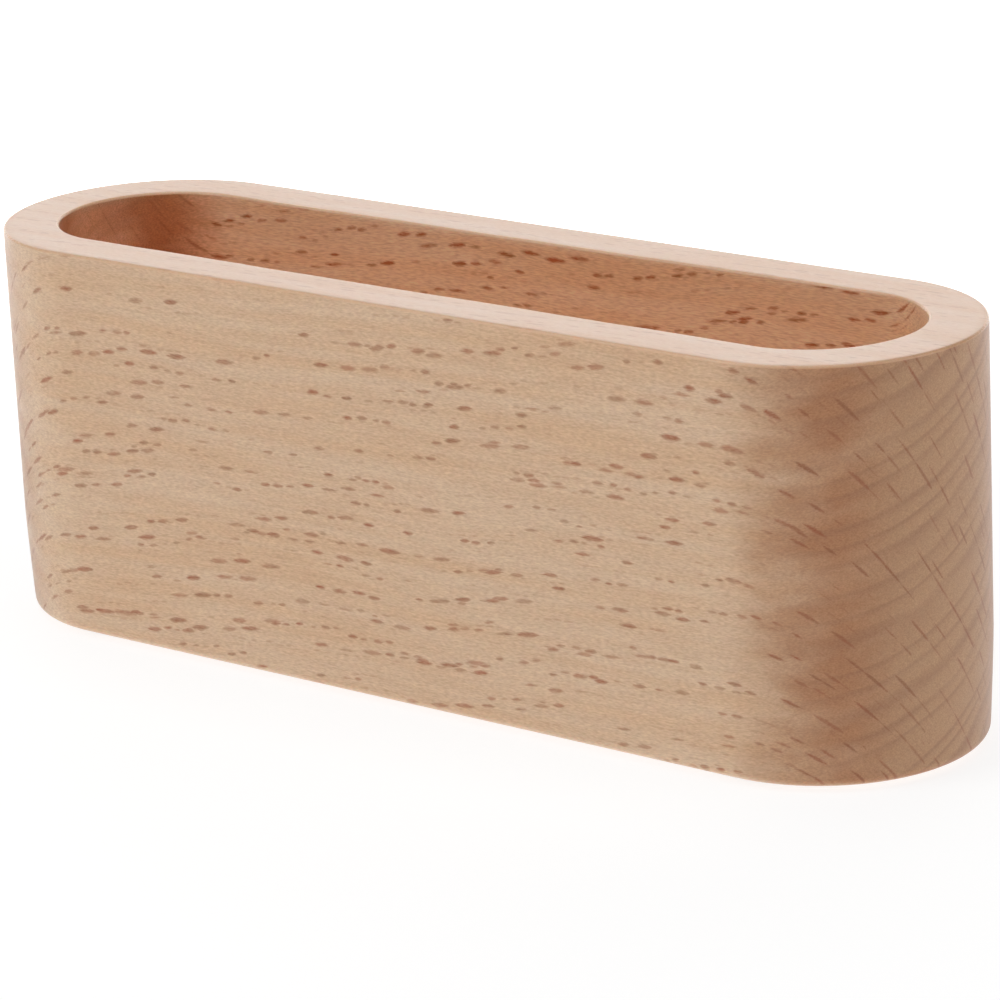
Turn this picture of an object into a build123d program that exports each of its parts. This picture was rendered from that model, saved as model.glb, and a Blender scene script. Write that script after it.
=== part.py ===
from build123d import *
import os

# A desk stand for business cards: one beech block with round ends, a card pocket routed
# down into it from the top, and four rubber feet set into the underside.
# Millimetres. X runs along the block, Y towards its back, Z up.
# The origin is on the desk, under the middle of the block.

# Driving dimensions of the block
block_length = 110.0
block_width = 31.0
block_height = 39.5
wall = 5.5  # wood left between the pocket and the outside, all the way round
pocket_floor = 6.0  # wood left under the pocket
rim_round = 0.3  # sanded edges at the mouth of the pocket and round the top
base_relief = 0.4  # how far the sides are sanded in at the bottom
base_relief_height = 10.0  # how far up the sides that sanding starts
base_round = 1.0  # rounded edge where the sides meet the underside
cutter_corner = 1.0  # corner that the routing cutter leaves round the pocket's floor

# Driving dimensions of the feet
foot_diameter = 8.0
foot_thickness = 2.0
foot_proud = 0.5  # how far a foot stands out of the underside
foot_bevel = 0.3  # round the foot's lower edge
foot_inset = 6.5  # from the side of the block to the middle of a foot
seat_clearance = 0.1  # round each foot in its seat

# Sizes that follow from those
pocket_length = block_length - 2 * wall
pocket_width = block_width - 2 * wall
underside = foot_proud
rim = underside + block_height
pocket_bottom = underside + pocket_floor
seat_depth = foot_thickness - foot_proud
seat_radius = foot_diameter / 2 + seat_clearance
foot_x = (block_length - block_width) / 2  # level with the middles of the round ends
foot_y = block_width / 2 - foot_inset

FOOT_PLACES = {
    "foot_front_left": (-foot_x, -foot_y),
    "foot_front_right": (foot_x, -foot_y),
    "foot_rear_left": (-foot_x, foot_y),
    "foot_rear_right": (foot_x, foot_y),
}


def level_faces(part):
    """The flat, level faces of a part, lowest first."""
    return part.faces().filter_by(Plane.XY).sort_by(Axis.Z)


def beech_block():
    """The wooden block: its outline, the pocket, the eased edges and the seats for the feet."""
    with BuildPart() as block:
        with BuildSketch(Plane.XY.offset(underside)):
            SlotOverall(block_length, block_width)
        extrude(amount=block_height)

        with BuildSketch(Plane.XY.offset(rim)):
            SlotOverall(pocket_length, pocket_width)
        extrude(amount=pocket_bottom - rim, mode=Mode.SUBTRACT)

        # The level faces are the underside, the pocket's floor and the rim.
        fillet(level_faces(block)[2].edges(), rim_round)
        fillet(level_faces(block)[1].edges(), cutter_corner)
        base = level_faces(block)[0]
        chamfer(base.edges(), base_relief, base_relief_height, reference=base)
        fillet(level_faces(block)[0].edges(), base_round)

        with BuildSketch(Plane.XY.offset(underside)):
            with Locations(*FOOT_PLACES.values()):
                Circle(seat_radius)
        extrude(amount=seat_depth, mode=Mode.SUBTRACT)
    return block.part


def rubber_foot(place):
    """One moulded disc foot, with its top on the floor of its seat and its lower edge bevelled."""
    with BuildPart() as foot:
        with BuildSketch():
            with Locations(place):
                Circle(foot_diameter / 2)
        extrude(amount=foot_thickness)
        chamfer(level_faces(foot)[0].edges(), foot_bevel)
    return foot.part


os.makedirs("parts", exist_ok=True)
export_step(beech_block(), "parts/beech_block.step")
for name, place in FOOT_PLACES.items():
    export_step(rubber_foot(place), f"parts/{name}.step")
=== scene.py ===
"""Beech desk stand for business cards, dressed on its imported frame.

Lengths are metres, as in the frame. The wood's pattern is worked out in millimetres.
"""
import math

import bmesh
import bpy
from bpy.props import FloatProperty, FloatVectorProperty, PointerProperty
from mathutils import Matrix, Vector, noise


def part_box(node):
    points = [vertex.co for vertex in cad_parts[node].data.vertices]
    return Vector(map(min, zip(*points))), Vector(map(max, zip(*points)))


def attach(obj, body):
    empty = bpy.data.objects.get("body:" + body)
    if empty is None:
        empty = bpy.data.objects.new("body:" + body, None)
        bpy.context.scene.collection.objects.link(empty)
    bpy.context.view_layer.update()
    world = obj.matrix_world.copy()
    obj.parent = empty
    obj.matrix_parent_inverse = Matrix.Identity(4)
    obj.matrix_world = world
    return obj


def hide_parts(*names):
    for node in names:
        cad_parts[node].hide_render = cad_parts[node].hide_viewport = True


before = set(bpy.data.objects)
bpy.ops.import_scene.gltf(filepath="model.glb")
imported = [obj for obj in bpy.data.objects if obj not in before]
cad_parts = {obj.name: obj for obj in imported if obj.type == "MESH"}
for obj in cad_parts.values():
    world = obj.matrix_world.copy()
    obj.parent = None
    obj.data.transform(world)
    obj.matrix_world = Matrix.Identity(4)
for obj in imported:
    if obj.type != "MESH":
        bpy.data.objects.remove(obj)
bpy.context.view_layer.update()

bl_info = {
    "name": "Card Stand",
    "version": (1, 0, 0),
    "blender": (4, 5, 0),
    "location": "View3D > Sidebar > Card Stand",
    "description": "Builds a routed beech stand for business cards, its rubber feet and a studio",
    "category": "Object",
}

MM = 0.001
BLOCK_NODE = "beech_block"
FOOT_NODES = [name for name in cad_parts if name.startswith("foot_")]
BLOCK_LOW, BLOCK_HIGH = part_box(BLOCK_NODE)

# Sizes of the wood's patterns in millimetres: along the fibres, round the tree and outwards from its pith.
# A beech fibre is about 0.02 mm wide and a vessel 0.07, so fibres, streaks, tooth and frayed edges are
# drawn coarser than real, to show at the size of the picture.
BAND_MM = (28, 1.8, 1.8)
CLOUD_MM = (8, 8, 2.8)
FIBRE_MM = (0.55, 0.12, 0.12)
STREAK_MM = (9, 0.30, 0.30)
TOOTH_MM = (0.9, 0.12, 0.12)
FRAY_MM = (0.6, 0.12, 0.12)
FLECK_HUE_MM = (3, 0.8, 6)

# Other lengths in millimetres
GRAIN_WANDER = 3  # how far the grain wanders from straight
GRAIN_WANDER_LENGTH = 38
RING_WAVE_LENGTH = 9
RIM_EDGE_SHADE_WIDTH = 0.9  # how far in from the rim's outer edge the painted shade reaches
MOUTH = (1.0, 0.2)  # how far under the rim the painted light at the top of the pocket's walls starts, and is full
RUN_OUT = (0.1, 0.3)  # how far past the pocket's edge the routed surface starts and ends giving way
ABOVE_SEATS = (4.0, 5.0)  # heights between the seats of the feet and the pocket's floor

FIBRE_AXIS = (0.985, -0.17, 0)  # the fibres come forward a little to the right
TRUNK_TAPER = 0.25  # how far the rings step out for each unit along the fibres
RAY_LEAN = 0.027  # rise of a ray's middle line along the fibres
RAY_SOFTNESS = 0.07  # half the width in millimetres over which a ray's edge fades

# Layers of rays: cell in millimetres, shift of the rows, half thickness in millimetres, cells to a chain,
# share of chains with rays, share of cells filled, depth of colour, seed
RAY_LAYERS = (
    ((3.1, 1.90, 3.4), 0.0, 0.108, 2.6, 0.70, 0.80, 0.92, 1.0),
    ((2.3, 2.10, 3.0), 0.35, 0.100, 3.3, 0.67, 0.78, 0.95, 2.0),
    ((1.6, 1.70, 2.5), 0.6, 0.082, 3.7, 0.58, 0.78, 0.90, 4.0),
    ((1.2, 0.90, 1.8), 0.25, 0.035, 4.4, 0.45, 0.60, 0.5, 3.0),
)

# What parts of the block do to the wood's red, green and blue
FRESH_AND_LIT_TINT = (1.25, 1.19, 1.16, 1)  # the routed pocket: fresher wood, and paler with painted light
SHADED_END_TINT = (1.33, 1.12, 1.08, 1)  # painted shade and bounced red light on the pocket's end that faces right
POCKET_TOP_LIGHT_TINT = (1.26, 1.30, 1.36, 1)  # painted light along the top of the pocket's walls
# painted sheen on the level faces
RIM_SHEEN_TINT = (1.03, 1.01, 1.11, 1)
RIM_EDGE_SHADE_TINT = (0.90, 0.87, 0.80, 1)  # painted shade along the rim's outer edge
DEEP_FLECK_TINT = (0.76, 0.66, 0.60, 1)  # rays cut across, where the oil has soaked in, with painted shade where the cut faces right
FRESH_LIT_FLECK_TINT = (1.25, 1.2, 1.15, 1)  # rays in the pocket, paler with painted light
FIBRE_TINT = (0.9, 1.25, 1.4)  # a pale or dark fibre changes blue the most

# Wear of the pocket's edge: lengths of its two waves, and how far down the wall it fades out
LONG_WAVE = 13 * MM
SHORT_WAVE = 4.5 * MM
WEAR_DEPTH = 4 * MM

# Faces of the block's skin: along a straight side, round an end, up each plain stretch and round a seat
SIDE_STEPS = 40
END_STEPS = 48
STRETCH_STEPS = (12, 4, 12, 5)
SEAT_STEPS = 48

BLOOM = 2.5 * MM  # size of a patch of bloom on the rubber

# Soft lights: place and size in metres, and the setting that gives the power
SOFTBOXES = {
    "key_softbox": ((-0.50, -0.78, 0.70), 0.6, "key_power"),
    "overhead_softbox": ((0, -0.1, 0.9), 0.8, "overhead_power"),
    "right_softbox": ((0.80, 0.15, 0.35), 0.6, "right_power"),
}
LIGHTS_AIM = Vector((0, 0, 20 * MM))
FLOOR_HALF = 4.0
SWEEP_START = 40 * MM  # behind the object, where the light table starts to glow brighter
SWEEP_END = 250 * MM


def linear(hex_colour):
    """An sRGB hex colour as linear red, green, blue and alpha."""
    channels = [int(hex_colour[i:i + 2], 16) / 255 for i in (1, 3, 5)]
    return [c / 12.92 if c <= 0.04045 else ((c + 0.055) / 1.055) ** 2.4 for c in channels] + [1.0]


def add(tree, kind, inputs=None, **settings):
    """Adds one node. An input takes a node's first output, a socket or a plain value."""
    made = tree.nodes.new(kind)
    for name, value in settings.items():
        setattr(made, name, value)
    for name, value in (inputs or {}).items():
        if isinstance(value, bpy.types.Node):
            tree.links.new(value.outputs[0], made.inputs[name])
        elif isinstance(value, bpy.types.NodeSocket):
            tree.links.new(value, made.inputs[name])
        else:
            made.inputs[name].default_value = value
    return made


class CardStandBlock(bpy.types.PropertyGroup):
    """Sizes of the block that the frame doesn't give."""

    wall: FloatProperty(
        name="Wall", description="Wood between the pocket and the outside",
        default=5.5 * MM, min=2 * MM, unit="LENGTH")
    pocket_floor: FloatProperty(
        name="Pocket floor", description="Wood left under the pocket",
        default=6 * MM, min=3 * MM, unit="LENGTH")
    rim_round: FloatProperty(
        name="Rim round", description="Sanded round along both edges of the rim",
        default=0.3 * MM, min=0.1 * MM, unit="LENGTH")
    base_round: FloatProperty(
        name="Base round", description="Round where the sides meet the underside",
        default=1 * MM, min=0.1 * MM, unit="LENGTH")
    base_relief: FloatProperty(
        name="Base relief", description="How far the sides are sanded in at the bottom",
        default=0.4 * MM, min=0.0, unit="LENGTH")
    base_relief_height: FloatProperty(
        name="Base relief height", description="How far up the sides that sanding starts",
        default=10 * MM, min=2 * MM, unit="LENGTH")
    cutter_corner: FloatProperty(
        name="Cutter corner", description="Corner that the cutter leaves round the pocket's floor",
        default=1 * MM, min=0.1 * MM, unit="LENGTH")
    seat_clearance: FloatProperty(
        name="Seat clearance", description="Gap round each foot in its seat",
        default=0.1 * MM, min=0.0, unit="LENGTH")
    sanding_waver: FloatProperty(
        name="Sanding waver", description="How far hand sanding lets the pocket's edge wander",
        default=0.22 * MM, min=0.0, unit="LENGTH")


class CardStandBeech(bpy.types.PropertyGroup):
    """Colours and figure of the beech."""

    wood_colour: FloatVectorProperty(
        name="Wood", description="Plain side grain",
        default=linear("#E4C4A4"), size=4, min=0.0, max=1.0, subtype="COLOR")
    warm_colour: FloatVectorProperty(
        name="Warm streak", description="Warmer bands along the grain",
        default=linear("#E1BB96"), size=4, min=0.0, max=1.0, subtype="COLOR")
    end_colour: FloatVectorProperty(
        name="End grain", description="Where the fibres are cut across",
        default=linear("#BF9570"), size=4, min=0.0, max=1.0, subtype="COLOR")
    fleck_colour: FloatVectorProperty(
        name="Fleck", description="Ray flecks",
        default=linear("#B06039"), size=4, min=0.0, max=1.0, subtype="COLOR")
    brown_fleck_colour: FloatVectorProperty(
        name="Brown fleck", description="The duller of the ray flecks",
        default=linear("#A3673F"), size=4, min=0.0, max=1.0, subtype="COLOR")
    soaked_colour: FloatVectorProperty(
        name="Soaked end grain", description="Slanting end grain where the oil has soaked in",
        default=linear("#B67F56"), size=4, min=0.0, max=1.0, subtype="COLOR")
    # Paler edge colour: wear from sanding, and a painted highlight
    edge_colour: FloatVectorProperty(
        name="Edge", description="Upper edges, sanded paler than the faces",
        default=linear("#ECC5A2"), size=4, min=0.0, max=1.0, subtype="COLOR")
    ring_colour: FloatVectorProperty(
        name="Ring", description="Dense late wood at the end of each year",
        default=linear("#8A5A40"), size=4, min=0.0, max=1.0, subtype="COLOR")
    grain_rise: FloatProperty(
        name="Grain rise", description="How the fibres climb towards the right-hand end",
        default=math.radians(2.0), subtype="ANGLE")
    ray_fall: FloatProperty(
        name="Ray fall", description="How the rays fall from front to back on the block's end",
        default=math.radians(56), subtype="ANGLE")
    ring_width: FloatProperty(
        name="Ring width", description="Mean width of one year's growth",
        default=1.95 * MM, min=0.5 * MM, unit="LENGTH")
    pith_distance: FloatProperty(
        name="Pith distance", description="From the block to the middle of the tree",
        default=140 * MM, min=40 * MM, unit="LENGTH")
    roughness: FloatProperty(
        name="Roughness", description="Mean roughness of the oiled surface",
        default=0.38, min=0.0, max=1.0, subtype="FACTOR")
    creep: FloatProperty(
        name="Creep", description="Share of the light that creeps through the wood before it leaves",
        default=0.35, min=0.0, max=1.0, subtype="FACTOR")


class CardStandRubber(bpy.types.PropertyGroup):
    """Colours and grain of the rubber feet."""

    rubber_colour: FloatVectorProperty(
        name="Rubber", description="Clean rubber",
        default=linear("#2B2A29"), size=4, min=0.0, max=1.0, subtype="COLOR")
    bloom_colour: FloatVectorProperty(
        name="Bloom", description="Paler bloom on the rubber",
        default=linear("#3C3A38"), size=4, min=0.0, max=1.0, subtype="COLOR")
    stipple: FloatProperty(
        name="Stipple", description="Grain of the mould's surface",
        default=0.25 * MM, min=0.05 * MM, unit="LENGTH")


class CardStandStudio(bpy.types.PropertyGroup):
    """Camera, floor and lights."""

    azimuth: FloatProperty(
        name="Azimuth", description="Camera's turn to the right of straight ahead",
        default=math.radians(38.442), subtype="ANGLE")
    elevation: FloatProperty(
        name="Elevation", description="Camera's height above level",
        default=math.radians(17.620), subtype="ANGLE")
    roll: FloatProperty(
        name="Roll", description="Camera's tilt about its own axis",
        default=math.radians(-2.679), subtype="ANGLE")
    distance: FloatProperty(
        name="Distance", description="From the camera to the point that it is aimed at",
        default=460.84 * MM, unit="LENGTH")
    aim_right: FloatProperty(
        name="Aim right", description="Aim point, to the right of the origin in the picture",
        default=1.025 * MM, unit="LENGTH")
    aim_up: FloatProperty(
        name="Aim up", description="Aim point, above the origin in the picture",
        default=15.751 * MM, unit="LENGTH")
    lens: FloatProperty(
        name="Lens", description="Focal length on a 36 mm sensor", default=170.25, unit="CAMERA")
    floor_colour: FloatVectorProperty(
        name="Floor", description="White acrylic of the light table",
        default=linear("#8C8C8C"), size=4, min=0.0, max=1.0, subtype="COLOR")
    floor_glow: FloatProperty(
        name="Floor glow", description="How brightly the light table is lit from below",
        default=0.81, min=0.0)
    sweep_glow: FloatProperty(
        name="Sweep glow", description="How much brighter the table is where it sweeps up at the back",
        default=0.98, min=0.0)
    backdrop: FloatProperty(
        name="Backdrop", description="Brightness of the white backdrop behind the object",
        default=1.77, min=0.0)
    key_power: FloatProperty(
        name="Key", description="Large soft light at the front left",
        default=3.75, min=0.0, unit="POWER")
    overhead_power: FloatProperty(
        name="Overhead", description="Large soft light straight above",
        default=3.5, min=0.0, unit="POWER")
    right_power: FloatProperty(
        name="Right", description="Soft light at the right-hand end",
        default=1.6, min=0.0, unit="POWER")


def arc(centre, radius, start, end, steps):
    """Points of a profile along a round, both ends included. Angles are degrees."""
    angles = [math.radians(start + (end - start) * i / steps) for i in range(steps + 1)]
    return [(centre[0] + radius * math.cos(a), centre[1] + radius * math.sin(a)) for a in angles]


def run(start, end, steps):
    """Points of a profile along a straight stretch, without its ends."""
    shares = [i / steps for i in range(1, steps)]
    return [tuple(a + (b - a) * share for a, b in zip(start, end)) for share in shares]


def block_profile(sizes):
    """The block's section from its underside, up the outside, over the rim and down to the pocket's floor.

    Each point is its distance from the block's middle line and its height.
    """
    outside = (BLOCK_HIGH.y - BLOCK_LOW.y) / 2
    inside = outside - sizes.wall
    bottom = BLOCK_LOW.z
    rim = BLOCK_HIGH.z
    floor = bottom + sizes.pocket_floor
    base, eased, corner = sizes.base_round, sizes.rim_round, sizes.cutter_corner
    steps_up = [base + (sizes.base_relief_height - base) * i / 9 for i in range(10)]
    relief = [sizes.base_relief * (1 - up / sizes.base_relief_height) ** 1.2 for up in steps_up]
    bends = [
        arc((outside - relief[0] - base, bottom + base), base, -90, 0, 8)
        + [(outside - drawn_in, bottom + up) for drawn_in, up in zip(relief[1:], steps_up[1:])],
        arc((outside - eased, rim - eased), eased, 0, 90, 8),
        arc((inside + eased, rim - eased), eased, 90, 180, 8),
        arc((inside - corner, floor + corner), corner, 0, -90, 6),
        [(0.0, floor)],
    ]
    profile = list(bends[0])
    for bend, steps in zip(bends[1:], STRETCH_STEPS):
        profile += run(profile[-1], bend[0], steps) + bend
    return profile


def block_stations(reach, straight_steps, turn_steps):
    """Places round the block, from the front's left end: how far along, and the direction outwards."""
    stations = []
    for side in (1, -1):
        for i in range(straight_steps):
            stations.append((side * reach * (2 * i / straight_steps - 1), Vector((0, -side, 0))))
        for i in range(turn_steps):
            turn = math.pi * i / turn_steps
            outwards = Vector((side * math.sin(turn), -side * math.cos(turn), 0))
            stations.append((side * reach, outwards))
    return stations


def sanded_edge(along, outwards, distance, height, sizes):
    """How far hand sanding has moved a point of the pocket's edge, fading out down the pocket's wall."""
    inside = (BLOCK_HIGH.y - BLOCK_LOW.y) / 2 - sizes.wall
    if distance > inside + 1.5 * sizes.rim_round or height < BLOCK_HIGH.z - WEAR_DEPTH:
        return 0.0
    place = Vector((along, 0, 0)) + outwards * inside
    long_wave = noise.noise(place / LONG_WAVE + Vector((3.7, 0, 0)))
    short_wave = noise.noise(place / SHORT_WAVE + Vector((0, 8.1, 0)))
    fade = 1 - (BLOCK_HIGH.z - height) / WEAR_DEPTH
    return sizes.sanding_waver * (0.75 * long_wave + 0.35 * short_wave) * fade


def block_mesh(sizes):
    """The block as one closed skin: its section carried round the middle line, and drilled seats below."""
    skin = bmesh.new()
    reach = (BLOCK_HIGH.x - BLOCK_LOW.x - BLOCK_HIGH.y + BLOCK_LOW.y) / 2
    profile = block_profile(sizes)
    rows = []
    for along, outwards in block_stations(reach, SIDE_STEPS, END_STEPS):
        row = []
        for distance, height in profile:
            moved = distance + sanded_edge(along, outwards, distance, height, sizes)
            row.append(skin.verts.new(Vector((along, 0, height)) + outwards * moved))
        rows.append(row)
    for here, after in zip(rows, rows[1:] + rows[:1]):
        for i in range(len(profile) - 1):
            skin.faces.new((here[i], after[i], after[i + 1], here[i + 1]))

    # The underside is filled round the feet's seats, which go up to the feet's tops.
    rings = [skin.edges.get((a[0], b[0])) for a, b in zip(rows, rows[1:] + rows[:1])]
    for name in FOOT_NODES:
        low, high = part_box(name)
        middle = (low + high) / 2
        radius = (high.y - low.y) / 2 + sizes.seat_clearance
        seat = bmesh.ops.create_circle(
            skin, segments=SEAT_STEPS, radius=radius,
            matrix=Matrix.Translation((middle.x, middle.y, BLOCK_LOW.z)))["verts"]
        mouth = list({edge for vert in seat for edge in vert.link_edges})
        rings += mouth
        raised = bmesh.ops.extrude_edge_only(skin, edges=mouth)["geom"]
        tops = [part for part in raised if isinstance(part, bmesh.types.BMVert)]
        bmesh.ops.translate(skin, verts=tops, vec=(0, 0, high.z - BLOCK_LOW.z))
        top_edges = [part for part in raised if isinstance(part, bmesh.types.BMEdge)
                     and all(vert in tops for vert in part.verts)]
        bmesh.ops.contextual_create(skin, geom=top_edges)
        for edge in mouth + top_edges:
            edge.smooth = False
    bmesh.ops.triangle_fill(skin, use_beauty=True, edges=rings)

    bmesh.ops.remove_doubles(skin, verts=skin.verts, dist=0.001 * MM)
    bmesh.ops.recalc_face_normals(skin, faces=skin.faces)
    for face in skin.faces:
        face.smooth = True
    mesh = bpy.data.meshes.new("holder_block")
    skin.to_mesh(mesh)
    skin.free()
    return mesh


def new_material(name):
    """An empty material with a Principled shader wired to its output."""
    material = bpy.data.materials.new(name)
    material.use_nodes = True
    tree = material.node_tree
    tree.nodes.clear()
    shader = add(tree, "ShaderNodeBsdfPrincipled")
    add(tree, "ShaderNodeOutputMaterial", {"Surface": shader})
    return material, tree, shader


def ray_group():
    """A node group that sows one layer of rays through the wood.

    A ray is a thin sheet that runs out from the pith and is lens-shaped along the fibres. Each cell of the
    layer, in millimetres along the fibres, round the tree and outwards, holds one ray or none. Neighbours
    along a row go together in chains, which share their place across the row.
    """
    tree = bpy.data.node_groups.new("Beech rays", "ShaderNodeTree")
    for name in ("Grain", "Cell"):
        tree.interface.new_socket(name, in_out="INPUT", socket_type="NodeSocketVector")
    for name in ("Row shift", "Half thickness", "Chain length", "Chain share", "Fill", "Depth", "Seed"):
        tree.interface.new_socket(name, in_out="INPUT", socket_type="NodeSocketFloat")
    tree.interface.new_socket("Ray", in_out="OUTPUT", socket_type="NodeSocketFloat")
    given = add(tree, "NodeGroupInput").outputs

    # Which row, chain, cell and stretch outwards a point is in. Factors on seeds and draws set them apart.
    scaled = add(tree, "ShaderNodeVectorMath", {0: given["Grain"], 1: given["Cell"]}, operation="DIVIDE")
    at = add(tree, "ShaderNodeSeparateXYZ", {0: scaled}).outputs
    rowwise = add(tree, "ShaderNodeMath", {0: at["Y"], 1: given["Row shift"]}, operation="ADD")
    row = add(tree, "ShaderNodeMath", {0: rowwise}, operation="FLOOR")
    row_key = add(tree, "ShaderNodeMath", {0: given["Seed"], 1: 101.7, 2: row}, operation="MULTIPLY_ADD")
    shift = add(tree, "ShaderNodeTexWhiteNoise", {"W": row_key}, noise_dimensions="1D")
    along = add(tree, "ShaderNodeMath", {0: shift, 1: 9.0, 2: at["X"]}, operation="MULTIPLY_ADD")
    column = add(tree, "ShaderNodeMath", {0: along}, operation="FLOOR")
    chainwise = add(tree, "ShaderNodeMath", {0: column, 1: given["Chain length"]}, operation="DIVIDE")
    chain = add(tree, "ShaderNodeMath", {0: chainwise}, operation="FLOOR")
    chain_key = add(tree, "ShaderNodeCombineXYZ", {0: row, 1: chain, 2: given["Seed"]})
    chain_noise = add(tree, "ShaderNodeTexWhiteNoise", {"Vector": chain_key})
    chain_draw = add(tree, "ShaderNodeSeparateColor", {0: chain_noise.outputs["Color"]}).outputs
    cell_seed = add(tree, "ShaderNodeMath", {0: given["Seed"], 1: 0.37}, operation="ADD")
    cell_key = add(tree, "ShaderNodeCombineXYZ", {0: row, 1: column, 2: cell_seed})
    cell_noise = add(tree, "ShaderNodeTexWhiteNoise", {"Vector": cell_key})
    cell_draw = add(tree, "ShaderNodeSeparateColor", {0: cell_noise.outputs["Color"]}).outputs
    outwards = add(tree, "ShaderNodeMath", {0: cell_noise, 1: 7.0, 2: at["Z"]}, operation="MULTIPLY_ADD")
    stretch = add(tree, "ShaderNodeMath", {0: outwards}, operation="FLOOR")
    ray_noise = add(tree, "ShaderNodeTexWhiteNoise", {"Vector": cell_key, "W": stretch},
                    noise_dimensions="4D")
    ray_draw = add(tree, "ShaderNodeSeparateColor", {0: ray_noise.outputs["Color"]}).outputs

    # Along the fibres: from the ray's middle, in half lengths
    half_length = add(tree, "ShaderNodeMapRange", {0: ray_draw["Red"], 3: 0.25, 4: 0.43})
    room = add(tree, "ShaderNodeMath", {0: 0.5, 1: half_length}, operation="SUBTRACT")
    sway = add(tree, "ShaderNodeMapRange", {0: cell_draw["Red"], 3: -1.0, 4: 1.0})
    middle = add(tree, "ShaderNodeMath", {0: sway, 1: room, 2: 0.5}, operation="MULTIPLY_ADD")
    in_cell = add(tree, "ShaderNodeMath", {0: along}, operation="FRACT")
    from_middle = add(tree, "ShaderNodeMath", {0: in_cell, 1: middle}, operation="SUBTRACT")
    in_halves = add(tree, "ShaderNodeMath", {0: from_middle, 1: half_length}, operation="DIVIDE")
    lengthwise = add(tree, "ShaderNodeMath", {0: in_halves}, operation="ABSOLUTE")

    # Across the row: each cell of a chain sits a little higher than the last
    in_chain = add(tree, "ShaderNodeMath", {0: chainwise}, operation="FRACT")
    climb = add(tree, "ShaderNodeMapRange", {0: in_chain, 3: 0.45, 4: 0.55})
    chain_place = add(tree, "ShaderNodeMapRange", {0: chain_draw["Green"], 3: -0.34, 4: 0.34})
    cell_place = add(tree, "ShaderNodeMapRange", {0: cell_draw["Green"], 3: -0.05, 4: 0.05})
    places = add(tree, "ShaderNodeMath", {0: chain_place, 1: cell_place}, operation="ADD")
    height = add(tree, "ShaderNodeMath", {0: places, 1: climb}, operation="ADD")
    in_row = add(tree, "ShaderNodeMath", {0: rowwise}, operation="FRACT")
    off_row = add(tree, "ShaderNodeMath", {0: in_row, 1: height}, operation="SUBTRACT")
    pitch = add(tree, "ShaderNodeSeparateXYZ", {0: given["Cell"]}).outputs
    off_middle = add(tree, "ShaderNodeMath", {0: off_row, 1: pitch["Y"]}, operation="MULTIPLY")
    along_ray = add(tree, "ShaderNodeMath", {0: from_middle, 1: pitch["X"]}, operation="MULTIPLY")
    leaning = add(tree, "ShaderNodeMath", {0: along_ray, 1: -RAY_LEAN, 2: off_middle},
                  operation="MULTIPLY_ADD")
    crosswise = add(tree, "ShaderNodeMath", {0: leaning}, operation="ABSOLUTE")

    # A lens along the fibres, which keeps its thickness over most of the stretch outwards
    in_stretch = add(tree, "ShaderNodeMath", {0: outwards}, operation="FRACT")
    from_centre = add(tree, "ShaderNodeMapRange", {0: in_stretch, 3: -1.0, 4: 1.0})
    taper = add(tree, "ShaderNodeMath", {0: from_centre, 1: 4.0}, operation="POWER")
    rounding = add(tree, "ShaderNodeMath", {0: lengthwise, 1: 2.4}, operation="POWER")
    bulge = add(tree, "ShaderNodeMath", {0: rounding, 1: taper}, operation="ADD")
    lens = add(tree, "ShaderNodeMath", {0: 1.0, 1: bulge}, operation="SUBTRACT")
    girth = add(tree, "ShaderNodeMapRange", {0: ray_draw["Red"], 3: 0.8, 4: 1.15})
    thickness = add(tree, "ShaderNodeMath", {0: girth, 1: given["Half thickness"]}, operation="MULTIPLY")
    edge = add(tree, "ShaderNodeMath", {0: lens, 1: thickness}, operation="MULTIPLY")
    inner = add(tree, "ShaderNodeMath", {0: edge, 1: RAY_SOFTNESS}, operation="SUBTRACT")
    outer = add(tree, "ShaderNodeMath", {0: edge, 1: RAY_SOFTNESS}, operation="ADD")
    body = add(tree, "ShaderNodeMapRange", {0: crosswise, 1: inner, 2: outer, 3: 1.0, 4: 0.0},
               interpolation_type="SMOOTHSTEP")

    chained = add(tree, "ShaderNodeMath", {0: chain_draw["Red"], 1: given["Chain share"]},
                  operation="LESS_THAN")
    present = add(tree, "ShaderNodeMath", {0: ray_draw["Green"], 1: given["Fill"]}, operation="LESS_THAN")
    paleness = add(tree, "ShaderNodeMapRange", {0: ray_draw["Blue"], 3: 0.62, 4: 1.0})
    depth = add(tree, "ShaderNodeMath", {0: paleness, 1: given["Depth"]}, operation="MULTIPLY")
    both = add(tree, "ShaderNodeMath", {0: chained, 1: present}, operation="MULTIPLY")
    strength = add(tree, "ShaderNodeMath", {0: both, 1: depth}, operation="MULTIPLY")
    ray = add(tree, "ShaderNodeMath", {0: body, 1: strength}, operation="MULTIPLY")
    add(tree, "NodeGroupOutput", {"Ray": ray})
    return tree


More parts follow.
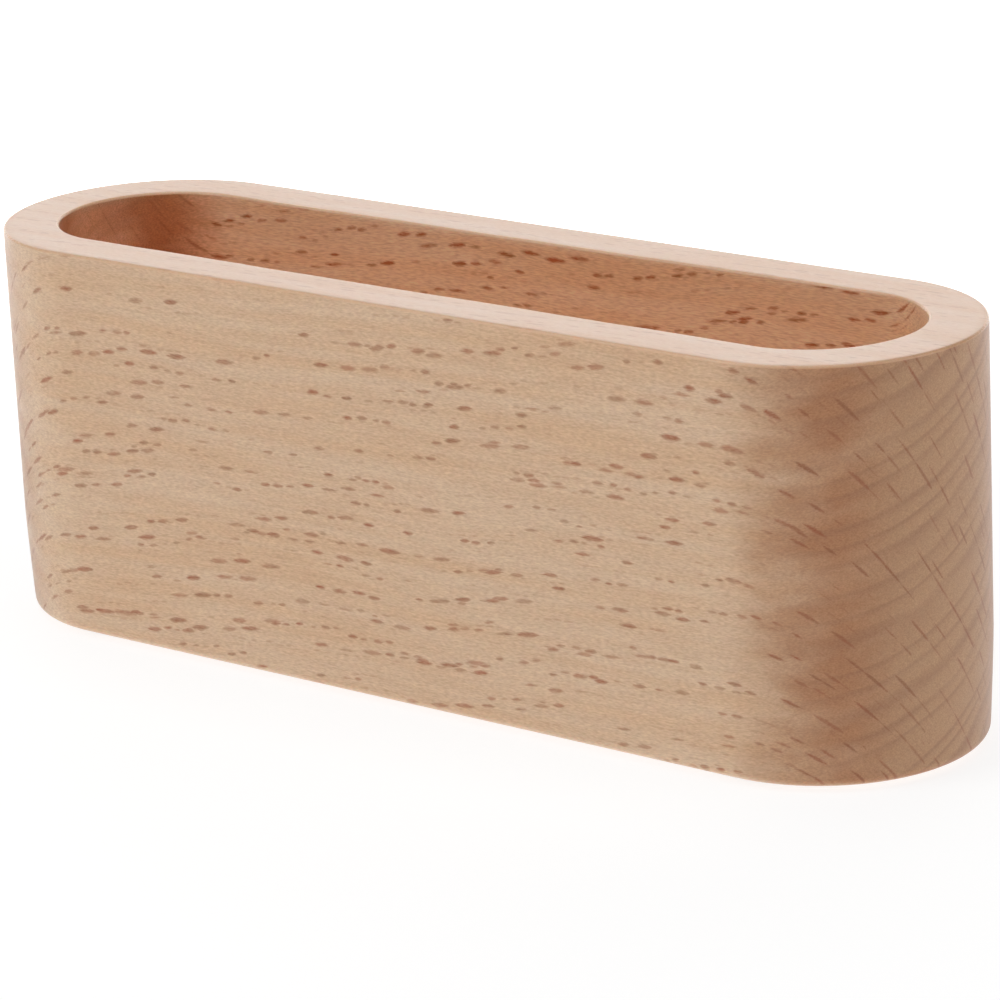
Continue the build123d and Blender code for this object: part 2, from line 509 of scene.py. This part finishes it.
def beech_sanded_oiled(beech, wall_mm):
    """Beech, sanded fine and oiled matt.

    The eye gets a pale pinkish tan with small brown lens-shaped ray flecks along the grain. On the cut
    ends the same rays turn to thin slanting lines across soft growth rings, and the oil that soaked in
    makes the wood red-brown. Sanding has left the upper edges smooth and pale, and a painted highlight
    lightens them further.
    """
    material, tree, shader = new_material("beech_sanded_oiled")
    coordinates = add(tree, "ShaderNodeTexCoord").outputs
    spot = add(tree, "ShaderNodeVectorMath", {0: coordinates["Object"], "Scale": 1 / MM}, operation="SCALE")

    # The wood's own directions: along the fibres, round the tree, and outwards from its pith
    drift = add(tree, "ShaderNodeTexNoise", {"Vector": spot, "Scale": 1 / GRAIN_WANDER_LENGTH,
                                             "Detail": 1.0})
    swing = add(tree, "ShaderNodeVectorMath", {0: drift.outputs["Color"], 1: (0.5, 0.5, 0.5)},
                operation="SUBTRACT")
    wandered = add(tree, "ShaderNodeVectorMath", {0: swing, 1: (0, GRAIN_WANDER, GRAIN_WANDER), 2: spot},
                   operation="MULTIPLY_ADD")
    level = add(tree, "ShaderNodeVectorRotate", {"Vector": wandered, "Angle": beech.grain_rise},
                rotation_type="Y_AXIS")
    pith_mm = beech.pith_distance / MM
    pith = (0, pith_mm * math.cos(beech.ray_fall), -pith_mm * math.sin(beech.ray_fall))
    from_pith = add(tree, "ShaderNodeVectorMath", {0: level, 1: pith}, operation="SUBTRACT")
    parts = add(tree, "ShaderNodeSeparateXYZ", {0: from_pith}).outputs
    turn = add(tree, "ShaderNodeMath", {0: parts["Y"], 1: parts["Z"]}, operation="ARCTAN2")
    around = add(tree, "ShaderNodeMath", {0: turn, 1: pith_mm}, operation="MULTIPLY")
    flat = add(tree, "ShaderNodeVectorMath", {0: from_pith, 1: (0, 1, 1)}, operation="MULTIPLY")
    radius = add(tree, "ShaderNodeVectorMath", {0: flat}, operation="LENGTH").outputs["Value"]
    grain = add(tree, "ShaderNodeCombineXYZ", {0: parts["X"], 1: around, 2: radius})

    # Growth rings lean on the trunk's taper, and differ in width and in strength from year to year
    coned = add(tree, "ShaderNodeMath", {0: parts["X"], 1: TRUNK_TAPER, 2: radius},
                operation="MULTIPLY_ADD")
    years = add(tree, "ShaderNodeMath", {0: coned, 1: beech.ring_width / MM}, operation="DIVIDE")
    good_years = add(tree, "ShaderNodeTexNoise", {"W": years, "Scale": 0.45, "Detail": 1.0},
                     noise_dimensions="1D")
    ring_wave = add(tree, "ShaderNodeTexNoise", {"Vector": wandered, "Scale": 1 / RING_WAVE_LENGTH,
                                                 "Detail": 1.0})
    uneven = add(tree, "ShaderNodeMath", {0: good_years, 1: 1.6, 2: years}, operation="MULTIPLY_ADD")
    season = add(tree, "ShaderNodeMath", {0: ring_wave, 1: 0.6, 2: uneven}, operation="MULTIPLY_ADD")
    phase = add(tree, "ShaderNodeMath", {0: season}, operation="FRACT")
    late = add(tree, "ShaderNodeMath", {0: phase, 1: 3.5}, operation="POWER")
    closing = add(tree, "ShaderNodeMapRange", {0: phase, 1: 0.8, 2: 1.0, 3: 1.0, 4: 0.0})
    ring_line = add(tree, "ShaderNodeMath", {0: late, 1: closing}, operation="MULTIPLY")

    # How much of the surface is cut across the fibres, and whether the cut faces right
    facing = add(tree, "ShaderNodeVectorMath", {0: coordinates["Normal"], 1: FIBRE_AXIS},
                 operation="DOT_PRODUCT").outputs["Value"]
    across = add(tree, "ShaderNodeMath", {0: facing}, operation="ABSOLUTE")
    end_grain = add(tree, "ShaderNodeMapRange", {0: across, 1: 0.13, 2: 0.76})
    facing_right = add(tree, "ShaderNodeMapRange", {0: facing, 2: 0.25})
    # End grain that faces right: soaked, and given painted shade
    right_cut_soak_and_shade = add(tree, "ShaderNodeMath", {0: end_grain, 1: facing_right}, operation="MULTIPLY")

    # Soft warm bands, tens of millimetres long
    band_at = add(tree, "ShaderNodeVectorMath", {0: grain, 1: BAND_MM}, operation="DIVIDE")
    band = add(tree, "ShaderNodeTexNoise", {"Vector": band_at, "Scale": 1.0, "Detail": 1.5})
    warmth = add(tree, "ShaderNodeMapRange", {0: band, 1: 0.36, 2: 0.66})
    toned = add(tree, "ShaderNodeMix", {0: warmth, 6: list(beech.wood_colour), 7: list(beech.warm_colour)},
                data_type="RGBA")

    # Where the surface is routed: inside the pocket
    ahead = add(tree, "ShaderNodeVectorMath", {0: spot}, operation="ABSOLUTE")
    reach_mm = (BLOCK_HIGH.x - BLOCK_HIGH.y) / MM
    past_end = add(tree, "ShaderNodeVectorMath", {0: ahead, 1: (reach_mm, 0, 0)}, operation="SUBTRACT")
    outside_line = add(tree, "ShaderNodeVectorMath", {0: past_end, 1: (0, 0, 0)}, operation="MAXIMUM")
    level_only = add(tree, "ShaderNodeVectorMath", {0: outside_line, 1: (1, 1, 0)}, operation="MULTIPLY")
    off_line = add(tree, "ShaderNodeVectorMath", {0: level_only}, operation="LENGTH").outputs["Value"]
    pocket_mm = BLOCK_HIGH.y / MM - wall_mm
    in_pocket = add(tree, "ShaderNodeMapRange", {
        0: off_line, 1: pocket_mm + RUN_OUT[0], 2: pocket_mm + RUN_OUT[1], 3: 1.0, 4: 0.0,
    })
    above_base = add(tree, "ShaderNodeSeparateXYZ", {0: spot}).outputs["Z"]
    raised = add(tree, "ShaderNodeMapRange", {0: above_base, 1: ABOVE_SEATS[0], 2: ABOVE_SEATS[1]})
    routed = add(tree, "ShaderNodeMath", {0: in_pocket, 1: raised}, operation="MULTIPLY")

    # Oil soaks into the cut ends in clouds that follow the rings, deepest where the cut is slanting.
    # In the pocket the slanting cut that faces right is soaked deepest: painted shade there, darker and
    # redder.
    cloud_at = add(tree, "ShaderNodeCombineXYZ", {0: parts["X"], 1: around, 2: coned})
    cloud_size = add(tree, "ShaderNodeVectorMath", {0: cloud_at, 1: CLOUD_MM}, operation="DIVIDE")
    cloud = add(tree, "ShaderNodeTexNoise", {"Vector": cloud_size, "Scale": 1.0, "Detail": 2.0})
    ragged = add(tree, "ShaderNodeMapRange", {0: cloud, 1: 0.3, 2: 0.7, 3: -0.5, 4: 0.5})
    pocket_slant = add(tree, "ShaderNodeMapRange", {0: across, 1: 0.85, 2: 1.0, 3: 1.1, 4: 0.45})
    pocket_soak_and_shade = add(tree, "ShaderNodeMix", {0: facing_right, 2: 0.45, 3: pocket_slant})
    open_pores_and_shade = add(tree, "ShaderNodeMix", {0: routed, 2: 1.0, 3: pocket_soak_and_shade})
    drinking_and_shade = add(tree, "ShaderNodeMath", {0: end_grain, 1: open_pores_and_shade}, operation="MULTIPLY")
    slanting = add(tree, "ShaderNodeMapRange", {0: drinking_and_shade, 2: 0.45, 4: 0.48},
                   interpolation_type="SMOOTHSTEP")
    soaked_at = add(tree, "ShaderNodeMath", {0: ragged, 1: slanting, 2: drinking_and_shade},
                    operation="MULTIPLY_ADD", use_clamp=True)
    soaked = add(tree, "ShaderNodeMix", {0: soaked_at, 6: toned.outputs[2], 7: list(beech.soaked_colour)},
                 data_type="RGBA")
    square_cut = add(tree, "ShaderNodeMapRange", {0: across, 1: 0.76, 2: 1.0, 4: 0.9},
                     interpolation_type="SMOOTHSTEP")
    square_pores = add(tree, "ShaderNodeMapRange", {0: routed, 3: 1.0, 4: 0.25})
    square_share = add(tree, "ShaderNodeMath", {0: square_cut, 1: square_pores}, operation="MULTIPLY")
    cut = add(tree, "ShaderNodeMix", {0: square_share, 6: soaked.outputs[2], 7: list(beech.end_colour)},
              data_type="RGBA")

    # The routed wood is fresher than the outside, and paler with painted light that the recess doesn't get;
    # where it faces right it is redder and darker with painted shade and bounced light.
    # Painted light makes the top of its walls, the mouth, the palest.
    fresh_and_lit_tint = add(tree, "ShaderNodeMix", {0: right_cut_soak_and_shade, 6: FRESH_AND_LIT_TINT, 7: SHADED_END_TINT}, data_type="RGBA")
    rim_mm = BLOCK_HIGH.z / MM
    near_mouth = add(tree, "ShaderNodeMapRange", {
        0: above_base, 1: rim_mm - MOUTH[0], 2: rim_mm - MOUTH[1],
    }, interpolation_type="SMOOTHSTEP")
    pocket_top_light = add(tree, "ShaderNodeMix", {0: near_mouth, 6: fresh_and_lit_tint.outputs[2], 7: POCKET_TOP_LIGHT_TINT},
                     data_type="RGBA")
    fresh_and_lit = add(tree, "ShaderNodeMix", {0: routed, 6: cut.outputs[2], 7: pocket_top_light.outputs[2]},
                data_type="RGBA", blend_type="MULTIPLY")

    # The level faces are paler and pinker: painted sheen
    upward = add(tree, "ShaderNodeSeparateXYZ", {0: coordinates["Normal"]}).outputs["Z"]
    steep = add(tree, "ShaderNodeMath", {0: upward}, operation="ABSOLUTE")
    level_cut = add(tree, "ShaderNodeMapRange", {0: steep, 1: 0.6, 2: 1.0})
    rim_sheen = add(tree, "ShaderNodeMix", {0: level_cut, 6: fresh_and_lit.outputs[2], 7: RIM_SHEEN_TINT},
               data_type="RGBA", blend_type="MULTIPLY")

    # The rim darkens towards its outer edge: painted shade of a broader eased round
    outside_mm = BLOCK_HIGH.y / MM
    near_edge = add(tree, "ShaderNodeMapRange", {0: off_line, 1: outside_mm - RIM_EDGE_SHADE_WIDTH, 2: outside_mm},
                    interpolation_type="SMOOTHSTEP")
    rim_edge_shade = add(tree, "ShaderNodeMath", {0: near_edge, 1: level_cut}, operation="MULTIPLY")
    edge_shaded = add(tree, "ShaderNodeMix", {0: rim_edge_shade, 6: rim_sheen.outputs[2], 7: RIM_EDGE_SHADE_TINT},
                   data_type="RGBA", blend_type="MULTIPLY")

    # Fibres and vessels: short streaks among longer, wider ones
    fine_at = add(tree, "ShaderNodeVectorMath", {0: grain, 1: FIBRE_MM}, operation="DIVIDE")
    fine = add(tree, "ShaderNodeTexNoise", {"Vector": fine_at, "Scale": 1.0, "Detail": 1.0})
    long_at = add(tree, "ShaderNodeVectorMath", {0: grain, 1: STREAK_MM}, operation="DIVIDE")
    long_streak = add(tree, "ShaderNodeTexNoise", {"Vector": long_at, "Scale": 1.0, "Detail": 2.0})
    short_tone = add(tree, "ShaderNodeMapRange", {0: fine, 1: 0.25, 2: 0.75, 3: 0.87, 4: 1.13})
    long_tone = add(tree, "ShaderNodeMapRange", {0: long_streak, 1: 0.25, 2: 0.75, 3: 0.95, 4: 1.05})
    streaks = add(tree, "ShaderNodeMath", {0: short_tone, 1: long_tone}, operation="MULTIPLY")

    # The cutter leaves a tooth on the pocket's walls, and sanding closes the fibres on the rim
    tooth_at = add(tree, "ShaderNodeVectorMath", {0: grain, 1: TOOTH_MM}, operation="DIVIDE")
    tooth = add(tree, "ShaderNodeTexNoise", {"Vector": tooth_at, "Scale": 1.0, "Detail": 1.0})
    tooth_tone = add(tree, "ShaderNodeMapRange", {0: tooth, 1: 0.25, 2: 0.75, 3: 0.82, 4: 1.18})
    closed = add(tree, "ShaderNodeMapRange", {0: level_cut, 4: 0.7})
    sanded_tone = add(tree, "ShaderNodeMix", {0: closed, 2: streaks, 3: 1.0})
    fibre_tone = add(tree, "ShaderNodeMix", {0: routed, 2: sanded_tone, 3: tooth_tone})
    fibre_swing = add(tree, "ShaderNodeMath", {0: fibre_tone, 1: 1.0}, operation="SUBTRACT")
    fibre_colour = add(tree, "ShaderNodeVectorMath", {0: fibre_swing, 1: FIBRE_TINT, 2: (1, 1, 1)},
                       operation="MULTIPLY_ADD")
    fibred = add(tree, "ShaderNodeVectorMath", {0: edge_shaded.outputs[2], 1: fibre_colour},
                 operation="MULTIPLY")

    # The rings show most where the cut is square, and less in the pocket
    ring_share = add(tree, "ShaderNodeMapRange", {0: across, 1: 0.45, 2: 0.85, 3: 0.06, 4: 0.8})
    ring_depth = add(tree, "ShaderNodeMapRange", {0: cloud, 1: 0.25, 2: 0.65, 3: 0.35, 4: 1.0})
    ring_seen = add(tree, "ShaderNodeMapRange", {0: routed, 3: 1.0, 4: 0.25})
    ring_clear = add(tree, "ShaderNodeMath", {0: ring_share, 1: ring_seen}, operation="MULTIPLY")
    ring_both = add(tree, "ShaderNodeMath", {0: ring_clear, 1: ring_depth}, operation="MULTIPLY")
    ring_mix = add(tree, "ShaderNodeMath", {0: ring_line, 1: ring_both}, operation="MULTIPLY")
    ringed = add(tree, "ShaderNodeMix", {0: ring_mix, 6: fibred, 7: list(beech.ring_colour)},
                 data_type="RGBA")

    # Rays, ragged at their edges: three sizes in rows of their own, and faint specks
    fray_at = add(tree, "ShaderNodeVectorMath", {0: grain, 1: FRAY_MM}, operation="DIVIDE")
    fray = add(tree, "ShaderNodeTexNoise", {"Vector": fray_at, "Scale": 1.0, "Detail": 1.0})
    fray_swing = add(tree, "ShaderNodeVectorMath", {0: fray.outputs["Color"], 1: (0.5, 0.5, 0.5)},
                     operation="SUBTRACT")
    frayed = add(tree, "ShaderNodeVectorMath", {0: fray_swing, 1: (0.4, 0.10, 0), 2: grain},
                 operation="MULTIPLY_ADD")
    rays = ray_group()
    narrowed = add(tree, "ShaderNodeMapRange", {0: routed, 3: 1.0, 4: 0.6})
    thinned = add(tree, "ShaderNodeMapRange", {0: across, 1: 0.75, 2: 1.0, 3: 1.0, 4: 0.7})
    flecks = None
    for cell, row_shift, half_thickness, chain_length, chain_share, fill, depth, seed in RAY_LAYERS:
        sown = add(tree, "ShaderNodeMath", {0: thinned, 1: fill}, operation="MULTIPLY")
        slim = add(tree, "ShaderNodeMath", {0: narrowed, 1: half_thickness}, operation="MULTIPLY")
        layer = add(tree, "ShaderNodeGroup", {
            "Grain": frayed, "Cell": cell, "Row shift": row_shift, "Half thickness": slim,
            "Chain length": chain_length, "Chain share": chain_share, "Fill": sown, "Depth": depth,
            "Seed": seed,
        }, node_tree=rays)
        flecks = add(tree, "ShaderNodeMath", {0: flecks or 0.0, 1: layer}, operation="MAXIMUM")

    # The flecks are redder or browner by turns, darker on end grain that faces right with soak and painted
    # shade, and clear and paler in the pocket, partly painted light
    fleck_tone_at = add(tree, "ShaderNodeVectorMath", {0: grain, 1: FLECK_HUE_MM}, operation="DIVIDE")
    fleck_noise = add(tree, "ShaderNodeTexNoise", {"Vector": fleck_tone_at, "Scale": 1.0})
    fleck_tone = add(tree, "ShaderNodeMapRange", {0: fleck_noise, 1: 0.35, 2: 0.65})
    fleck_hue = add(tree, "ShaderNodeMix", {0: fleck_tone, 6: list(beech.fleck_colour),
                                            7: list(beech.brown_fleck_colour)}, data_type="RGBA")
    fleck_share = add(tree, "ShaderNodeMapRange", {0: across, 1: 0.75, 2: 1.0, 3: 0.97, 4: 0.8})
    # Flecks fade on level faces: painted sheen that veils them
    level_sheen_fade = add(tree, "ShaderNodeMapRange", {0: steep, 1: 0.5, 2: 1.0, 3: 1.0, 4: 0.4})
    fleck_room = add(tree, "ShaderNodeMath", {0: fleck_share, 1: level_sheen_fade}, operation="MULTIPLY")
    mottle = add(tree, "ShaderNodeMapRange", {0: fray, 1: 0.35, 2: 0.65, 3: 0.72, 4: 1.06})
    pocket_fleck = add(tree, "ShaderNodeMapRange", {0: across, 1: 0.3, 2: 0.8, 3: 1.5, 4: 0.45})
    fleck_clear = add(tree, "ShaderNodeMix", {0: routed, 2: 1.0, 3: pocket_fleck})
    fleck_seen = add(tree, "ShaderNodeMath", {0: fleck_clear, 1: fleck_room}, operation="MULTIPLY")
    mottled = add(tree, "ShaderNodeMath", {0: mottle, 1: fleck_seen}, operation="MULTIPLY")
    fleck_mix = add(tree, "ShaderNodeMath", {0: flecks, 1: mottled}, operation="MULTIPLY", use_clamp=True)
    fleck_deep = add(tree, "ShaderNodeMix", {0: right_cut_soak_and_shade, 6: fleck_hue.outputs[2], 7: DEEP_FLECK_TINT},
                     data_type="RGBA", blend_type="MULTIPLY")
    fleck_fresh_and_lit = add(tree, "ShaderNodeMix", {0: routed, 6: fleck_deep.outputs[2], 7: FRESH_LIT_FLECK_TINT},
                      data_type="RGBA", blend_type="MULTIPLY")
    flecked = add(tree, "ShaderNodeMix", {0: fleck_mix, 6: ringed.outputs[2], 7: fleck_fresh_and_lit.outputs[2]},
                  data_type="RGBA")

    # Sanded upper edges are the only places that face up at a slant: smoother, and paler with wear and a
    # painted highlight
    off_level = add(tree, "ShaderNodeMapRange", {0: upward, 1: 0.08, 2: 0.30})
    off_upright = add(tree, "ShaderNodeMapRange", {0: upward, 1: 0.85, 2: 0.99, 3: 1.0, 4: 0.0})
    arris = add(tree, "ShaderNodeMath", {0: off_level, 1: off_upright}, operation="MULTIPLY")
    wear_and_highlight = add(tree, "ShaderNodeMapRange", {0: near_edge, 3: 0.95, 4: 0.6})
    worn_and_highlit = add(tree, "ShaderNodeMath", {0: arris, 1: wear_and_highlight}, operation="MULTIPLY")
    edged = add(tree, "ShaderNodeMix", {0: worn_and_highlit, 6: flecked.outputs[2], 7: list(beech.edge_colour)},
                data_type="RGBA")
    tree.links.new(edged.outputs[2], shader.inputs["Base Color"])

    # A matt oil film: the open fibres stay duller than the dense rays
    dull = add(tree, "ShaderNodeMapRange", {0: fine, 1: 0.25, 2: 0.75, 3: beech.roughness + 0.06,
                                            4: beech.roughness - 0.06})
    smooth = add(tree, "ShaderNodeMath", {0: arris, 1: -0.12, 2: dull}, operation="MULTIPLY_ADD")
    tree.links.new(smooth.outputs[0], shader.inputs["Roughness"])
    relief = add(tree, "ShaderNodeMath", {0: flecks, 1: -0.25, 2: fine}, operation="MULTIPLY_ADD")
    bump = add(tree, "ShaderNodeBump", {"Strength": 0.25, "Distance": 0.04 * MM, "Height": relief})
    tree.links.new(bump.outputs[0], shader.inputs["Normal"])
    shader.inputs["IOR"].default_value = 1.5
    shader.inputs["Sheen Weight"].default_value = 0.2
    shader.inputs["Sheen Roughness"].default_value = 0.3

    # Light creeps about a millimetre through the wood, the red furthest, so that edges glow warm
    shader.inputs["Subsurface Weight"].default_value = beech.creep
    shader.inputs["Subsurface Radius"].default_value = (1.0, 0.4, 0.2)
    shader.inputs["Subsurface Scale"].default_value = 0.7 * MM
    return material


def rubber_moulded(rubber):
    """Moulded rubber.

    The eye gets a near-black matt grey with a fine stipple and a faint paler bloom.
    """
    material, tree, shader = new_material("rubber_moulded")
    place = add(tree, "ShaderNodeTexCoord").outputs["Object"]
    bloom = add(tree, "ShaderNodeTexNoise", {"Vector": place, "Scale": 1 / BLOOM, "Detail": 3.0})
    tone = add(tree, "ShaderNodeMix", {0: bloom, 6: list(rubber.rubber_colour),
                                       7: list(rubber.bloom_colour)}, data_type="RGBA")
    tree.links.new(tone.outputs[2], shader.inputs["Base Color"])
    grain = add(tree, "ShaderNodeTexVoronoi", {"Vector": place, "Scale": 1 / rubber.stipple})
    dull = add(tree, "ShaderNodeMapRange", {0: bloom, 3: 0.68, 4: 0.82})
    tree.links.new(dull.outputs[0], shader.inputs["Roughness"])
    bump = add(tree, "ShaderNodeBump", {"Strength": 0.3, "Distance": 0.05 * MM, "Height": grain})
    tree.links.new(bump.outputs[0], shader.inputs["Normal"])
    shader.inputs["IOR"].default_value = 1.52
    return material


class CARDSTAND_OT_block(bpy.types.Operator):
    """Builds the routed beech block"""

    bl_idname = "cardstand.block"
    bl_label = "Beech Block"

    def execute(self, context):
        sizes = context.scene.card_stand_block
        block = bpy.data.objects.new("holder_block", block_mesh(sizes))
        context.scene.collection.objects.link(block)
        block.data.materials.append(beech_sanded_oiled(context.scene.card_stand_beech, sizes.wall / MM))
        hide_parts(BLOCK_NODE)
        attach(block, "root")
        return {"FINISHED"}


class CARDSTAND_OT_feet(bpy.types.Operator):
    """Gives the four feet their moulded rubber"""

    bl_idname = "cardstand.feet"
    bl_label = "Rubber Feet"

    def execute(self, context):
        if not FOOT_NODES:
            raise RuntimeError("The frame has no feet")
        rubber = rubber_moulded(context.scene.card_stand_rubber)
        for name in FOOT_NODES:
            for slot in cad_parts[name].material_slots:
                slot.material = rubber
        return {"FINISHED"}


class CARDSTAND_OT_studio(bpy.types.Operator):
    """Sets the floor, the lights and the camera"""

    bl_idname = "cardstand.studio"
    bl_label = "Studio"

    def execute(self, context):
        studio = context.scene.card_stand_studio
        self.floor(context, studio)
        self.surroundings(context, studio)
        for name, (place, size, setting) in SOFTBOXES.items():
            self.soft_light(context, name, place, size, getattr(studio, setting))
        self.camera(context, studio)
        context.scene.view_settings.view_transform = "Standard"
        return {"FINISHED"}

    def floor(self, context, studio):
        """A flat light table of white acrylic, glowing brighter further behind the object."""
        mesh = bpy.data.meshes.new("floor")
        half = FLOOR_HALF
        corners = [(-half, -half, 0), (half, -half, 0), (half, half, 0), (-half, half, 0)]
        mesh.from_pydata(corners, [], [(0, 1, 2, 3)])
        floor = bpy.data.objects.new("floor", mesh)
        context.scene.collection.objects.link(floor)
        material, tree, shader = new_material("acrylic_opal_matt")
        shader.inputs["Base Color"].default_value = list(studio.floor_colour)
        shader.inputs["Roughness"].default_value = 0.9
        shader.inputs["Specular IOR Level"].default_value = 0.1
        shader.inputs["Emission Color"].default_value = (1, 1, 1, 1)
        away = (-math.sin(studio.azimuth), math.cos(studio.azimuth), 0)
        spot = add(tree, "ShaderNodeTexCoord").outputs["Object"]
        behind = add(tree, "ShaderNodeVectorMath", {0: spot, 1: away},
                     operation="DOT_PRODUCT").outputs["Value"]
        glow = add(tree, "ShaderNodeMapRange", {
            0: behind, 1: SWEEP_START, 2: SWEEP_END,
            3: studio.floor_glow, 4: studio.floor_glow + studio.sweep_glow,
        }, interpolation_type="SMOOTHSTEP")
        tree.links.new(glow.outputs[0], shader.inputs["Emission Strength"])
        mesh.materials.append(material)

    def surroundings(self, context, studio):
        """A white backdrop behind the object that fades to a dark room at its sides."""
        world = bpy.data.worlds.new("studio")
        context.scene.world = world
        world.use_nodes = True
        tree = world.node_tree
        tree.nodes.clear()
        away = (-math.sin(studio.azimuth), math.cos(studio.azimuth), 0)
        direction = add(tree, "ShaderNodeTexCoord").outputs["Generated"]
        ahead = add(tree, "ShaderNodeVectorMath", {0: direction, 1: away},
                    operation="DOT_PRODUCT").outputs["Value"]
        glow = add(tree, "ShaderNodeMapRange", {0: ahead, 1: 0.45, 2: 0.95, 4: studio.backdrop},
                   interpolation_type="SMOOTHSTEP")
        seen = add(tree, "ShaderNodeLightPath").outputs["Is Camera Ray"]
        strength = add(tree, "ShaderNodeMix", {0: seen, 2: glow, 3: 1.0})
        light = add(tree, "ShaderNodeBackground", {"Color": (1, 1, 1, 1), "Strength": strength})
        add(tree, "ShaderNodeOutputWorld", {"Surface": light})

    def soft_light(self, context, name, place, size, power):
        """A square soft light, aimed at the middle of the object."""
        lamp = bpy.data.lights.new(name, "AREA")
        lamp.shape = "SQUARE"
        lamp.size = size
        lamp.energy = power
        softbox = bpy.data.objects.new(name, lamp)
        context.scene.collection.objects.link(softbox)
        softbox.location = place
        aim = LIGHTS_AIM - softbox.location
        softbox.rotation_euler = aim.to_track_quat("-Z", "Y").to_euler()
        softbox.visible_camera = False

    def camera(self, context, studio):
        """The camera that matches the photograph's view."""
        turn, lift, roll = studio.azimuth, studio.elevation, studio.roll
        back = Vector((math.sin(turn) * math.cos(lift), -math.cos(turn) * math.cos(lift), math.sin(lift)))
        level = Vector((math.cos(turn), math.sin(turn), 0))
        upright = back.cross(level)
        right = level * math.cos(roll) + upright * math.sin(roll)
        up = upright * math.cos(roll) - level * math.sin(roll)
        place = right * studio.aim_right + up * studio.aim_up + back * studio.distance
        view = bpy.data.cameras.new("view")
        view.lens = studio.lens
        view.sensor_width = 36.0
        view.clip_start = 0.01
        camera = bpy.data.objects.new("view", view)
        context.scene.collection.objects.link(camera)
        camera.matrix_world = Matrix.Translation(place) @ Matrix((right, up, back)).transposed().to_4x4()
        context.scene.camera = camera


class CARDSTAND_PT_panel(bpy.types.Panel):
    """Lists the pieces of the card stand"""

    bl_label = "Card Stand"
    bl_space_type = "VIEW_3D"
    bl_region_type = "UI"
    bl_category = "Card Stand"

    def draw(self, context):
        layout = self.layout
        for operator, settings in (("cardstand.block", ("card_stand_block", "card_stand_beech")),
                                   ("cardstand.feet", ("card_stand_rubber",)),
                                   ("cardstand.studio", ("card_stand_studio",))):
            layout.operator(operator)
            for name in settings:
                group = getattr(context.scene, name)
                for prop in group.bl_rna.properties:
                    if prop.identifier not in ("rna_type", "name"):
                        layout.prop(group, prop.identifier)


SETTINGS = {
    "card_stand_block": CardStandBlock,
    "card_stand_beech": CardStandBeech,
    "card_stand_rubber": CardStandRubber,
    "card_stand_studio": CardStandStudio,
}
CLASSES = (
    *SETTINGS.values(),
    CARDSTAND_OT_block,
    CARDSTAND_OT_feet,
    CARDSTAND_OT_studio,
    CARDSTAND_PT_panel,
)


def register():
    """Adds the operators, the panel and the scene's settings."""
    for cls in CLASSES:
        bpy.utils.register_class(cls)
    for name, cls in SETTINGS.items():
        setattr(bpy.types.Scene, name, PointerProperty(type=cls))


def unregister():
    """Takes them out again."""
    for name in SETTINGS:
        delattr(bpy.types.Scene, name)
    for cls in reversed(CLASSES):
        bpy.utils.unregister_class(cls)


def main():
    """Builds the stand and its studio."""
    register()
    bpy.ops.cardstand.block()
    bpy.ops.cardstand.feet()
    bpy.ops.cardstand.studio()


if __name__ == "__main__":
    main()
